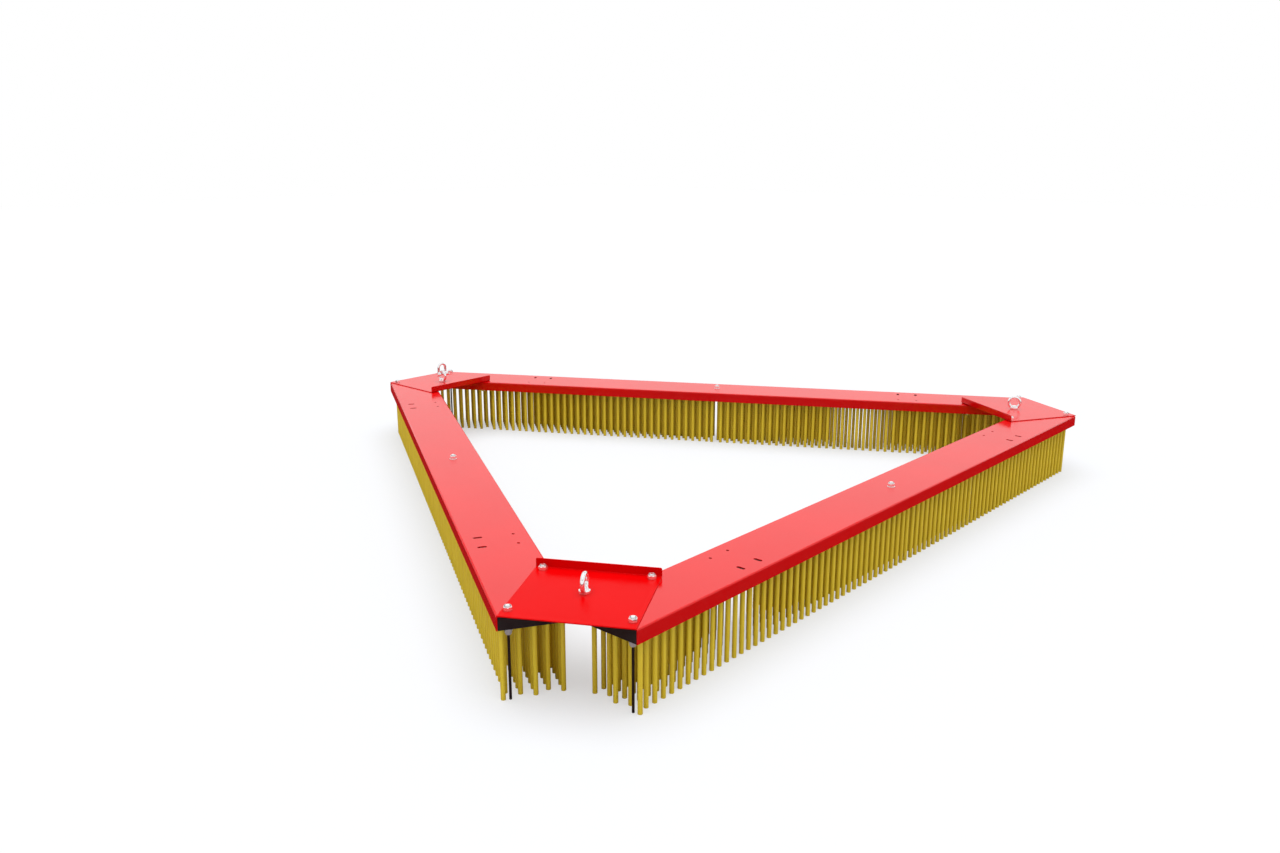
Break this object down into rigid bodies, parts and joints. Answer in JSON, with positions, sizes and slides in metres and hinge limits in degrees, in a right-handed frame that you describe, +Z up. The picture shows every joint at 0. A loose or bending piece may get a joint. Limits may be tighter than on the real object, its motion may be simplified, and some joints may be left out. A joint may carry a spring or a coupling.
{
  "type": "triangular drag brush",
  "caption": "Triangular drag brush: steel channel beams packed with brush boards, flanged corner plates with lifting eyes, and a swinging shackle on the towing corner.",
  "frame": {"origin": "on the ground, under the middle of the outline", "axes": "+Z up, the towing corner points to -Y, the beam opposite it lies along X"},
  "size_m": [1.9428, 1.6828, 0.2104],
  "materials": {
    "red_paint": "gloss",
    "black_board": "satin",
    "tan_bristle": "fibre",
    "zinc": "bright zinc plate",
    "black_rod": "satin black"
  },
  "bodies": {
    "root": {"beam_left": "red_paint", "beam_rear": "red_paint", "beam_right": "red_paint", "board_left_a": "black_board", "board_left_b": "black_board", "board_rear_a": "black_board", "board_rear_b": "black_board", "board_right_a": "black_board", "board_right_b": "black_board", "bristles_left_a": "tan_bristle", "bristles_left_b": "tan_bristle", "bristles_rear_a": "tan_bristle", "bristles_rear_b": "tan_bristle", "bristles_right_a": "tan_bristle", "bristles_right_b": "tan_bristle", "corner_bolts_left": "zinc", "corner_bolts_right": "zinc", "corner_bolts_tow": "zinc", "corner_nuts_left": "zinc", "corner_nuts_right": "zinc", "corner_nuts_tow": "zinc", "corner_plate_left": "red_paint", "corner_plate_right": "red_paint", "corner_plate_tow": "red_paint", "dome_nuts_left": "zinc", "dome_nuts_right": "zinc", "dome_nuts_tow": "zinc", "eye_nuts": "zinc", "eyebolts": "zinc", "mid_bolts": "zinc", "mid_nuts": "zinc", "mid_washers": "zinc", "stop_rods_left": "black_rod", "stop_rods_right": "black_rod", "stop_rods_tow": "black_rod"},
    "shackle": {"shackle_bow": "zinc", "shackle_pin": "zinc"}
  },
  "joints": [
    {"name": "shackle_swing", "type": "hinge", "parent": "root", "child": "shackle", "pos_m": [0, -0.72938, 0.1757], "axis": [1, 0, 0], "range_deg": [-130, 130]}
  ]
}
